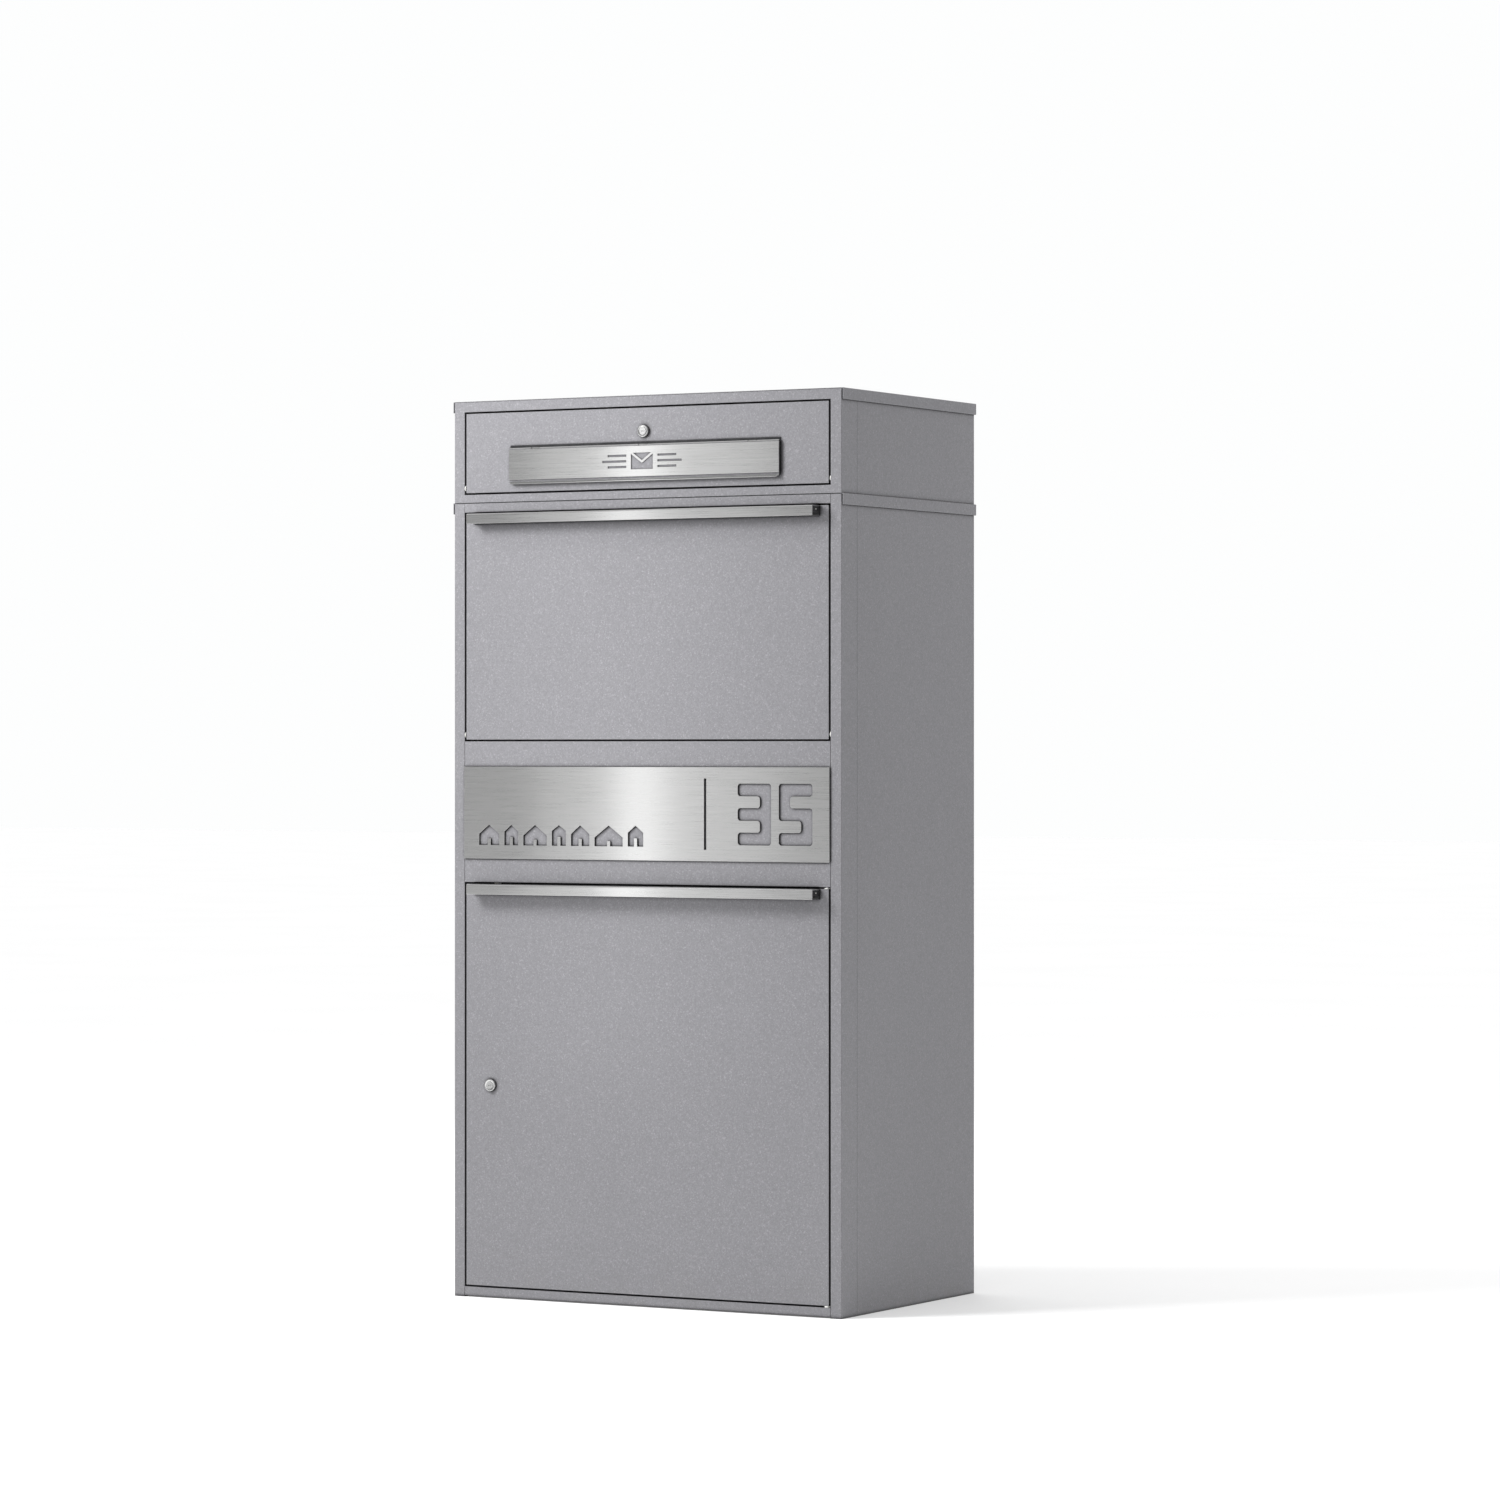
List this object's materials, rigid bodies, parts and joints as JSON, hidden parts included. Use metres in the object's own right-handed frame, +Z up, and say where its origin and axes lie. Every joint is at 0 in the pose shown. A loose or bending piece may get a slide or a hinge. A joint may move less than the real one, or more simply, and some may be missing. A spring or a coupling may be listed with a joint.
{
  "type": "parcel drop box",
  "caption": "Free-standing steel parcel box with a drop-down hopper door, a lockable removal door and a letterbox with a lifting flap on top.",
  "frame": {"origin": "on the ground, in the middle of the four anchor holes in the base plate, which is the middle of the case in plan", "axes": "+X to the right seen from the front, +Y from the front to the back, +Z up; the doors face -Y"},
  "size_m": [0.72, 0.479, 1.449],
  "materials": {
    "powder_coat": "satin metallic grey powder coat with fine sparkle",
    "stainless": "horizontally brushed stainless steel",
    "galvanised": "bare galvanised sheet",
    "zinc_plated": "bright zinc plate",
    "lock_chrome": "satin chrome",
    "black_plastic": "fine matte black plastic",
    "pale_plastic": "natural acetal",
    "rubber": "matte black rubber"
  },
  "bodies": {
    "case": {"stile_right": "powder_coat", "stile_left": "powder_coat", "parcel_side_right": "powder_coat", "parcel_side_left": "powder_coat", "parcel_back": "powder_coat", "base_plate": "powder_coat", "bottom_rail": "powder_coat", "parcel_top_rail": "powder_coat", "middle_panel": "powder_coat", "parcel_lid": "powder_coat", "theft_guard": "galvanised", "letterbox_front": "powder_coat", "letterbox_side_right": "powder_coat", "letterbox_side_left": "powder_coat", "letterbox_back": "powder_coat", "letterbox_floor": "powder_coat", "letterbox_lid": "powder_coat", "number_plate": "stainless", "number_plate_pads": "rubber", "pivot_bushes": "pale_plastic", "door_buffers": "rubber", "lower_door_pins": "zinc_plated", "joining_bolts": "zinc_plated", "joining_nuts": "zinc_plated"},
    "drop_flap": {"drop_door": "powder_coat", "drop_door_pins": "zinc_plated", "drop_handle_bar": "stainless", "drop_handle_core": "black_plastic", "drop_handle_screws": "zinc_plated", "hopper_tray": "galvanised", "hopper_cheek_right": "galvanised", "hopper_cheek_left": "galvanised", "tray_counterweight": "zinc_plated"},
    "removal_door": {"lower_door": "powder_coat", "lower_door_bushes": "pale_plastic", "lower_handle_bar": "stainless", "lower_handle_core": "black_plastic", "lower_handle_screws": "zinc_plated", "lower_lock_ring": "black_plastic", "lower_lock_body": "lock_chrome", "lower_lock_nut": "zinc_plated", "rod_guides": "pale_plastic"},
    "removal_lock": {"lower_lock_plug": "lock_chrome", "lock_crank": "zinc_plated"},
    "upper_rod": {"upper_lock_rod": "zinc_plated"},
    "lower_rod": {"lower_lock_rod": "zinc_plated"},
    "letterbox_door": {"letter_door": "powder_coat", "letter_door_pins": "zinc_plated", "letter_lock_ring": "black_plastic", "letter_lock_body": "lock_chrome", "letter_lock_nut": "zinc_plated", "flap_hinge_strip": "black_plastic"},
    "letterbox_lock": {"letter_lock_plug": "lock_chrome", "letter_lock_cam": "zinc_plated"},
    "flap": {"letter_flap": "stainless", "flap_hinge_rod": "zinc_plated", "name_plate": "stainless", "flap_end_caps": "black_plastic"}
  },
  "joints": [
    {"name": "drop_door_hinge", "type": "hinge", "parent": "case", "child": "drop_flap", "pos_m": [0, -0.222, 0.9095], "axis": [1, 0, 0], "range_deg": [0, 45]},
    {"name": "removal_door_hinge", "type": "hinge", "parent": "case", "child": "removal_door", "pos_m": [0.3295, -0.222, 0.34375], "axis": [0, 0, 1], "range_deg": [0, 95]},
    {"name": "removal_lock_turn", "type": "hinge", "parent": "removal_door", "child": "removal_lock", "pos_m": [-0.287, -0.215, 0.34375], "axis": [0, -1, 0], "range_deg": [0, 90]},
    {"name": "upper_rod_slide", "type": "slide", "parent": "removal_door", "child": "upper_rod", "axis": [0, 0, 1], "range_m": [0, 0.016]},
    {"name": "lower_rod_slide", "type": "slide", "parent": "removal_door", "child": "lower_rod", "axis": [0, 0, -1], "range_m": [0, 0.016]},
    {"name": "letterbox_door_hinge", "type": "hinge", "parent": "case", "child": "letterbox_door", "pos_m": [0, -0.222, 1.3085], "axis": [1, 0, 0], "range_deg": [0, 80]},
    {"name": "letterbox_lock_turn", "type": "hinge", "parent": "letterbox_door", "child": "letterbox_lock", "pos_m": [0, -0.215, 1.3915], "axis": [0, -1, 0], "range_deg": [0, 90]},
    {"name": "letter_flap_hinge", "type": "hinge", "parent": "letterbox_door", "child": "flap", "pos_m": [0, -0.23, 1.369], "axis": [-1, 0, 0], "range_deg": [0, 75]}
  ],
  "couplings": [
    {"joint": "removal_lock_turn", "follows": "upper_rod_slide", "rad_per_m": 98.17},
    {"joint": "lower_rod_slide", "follows": "upper_rod_slide", "ratio": 1}
  ]
}
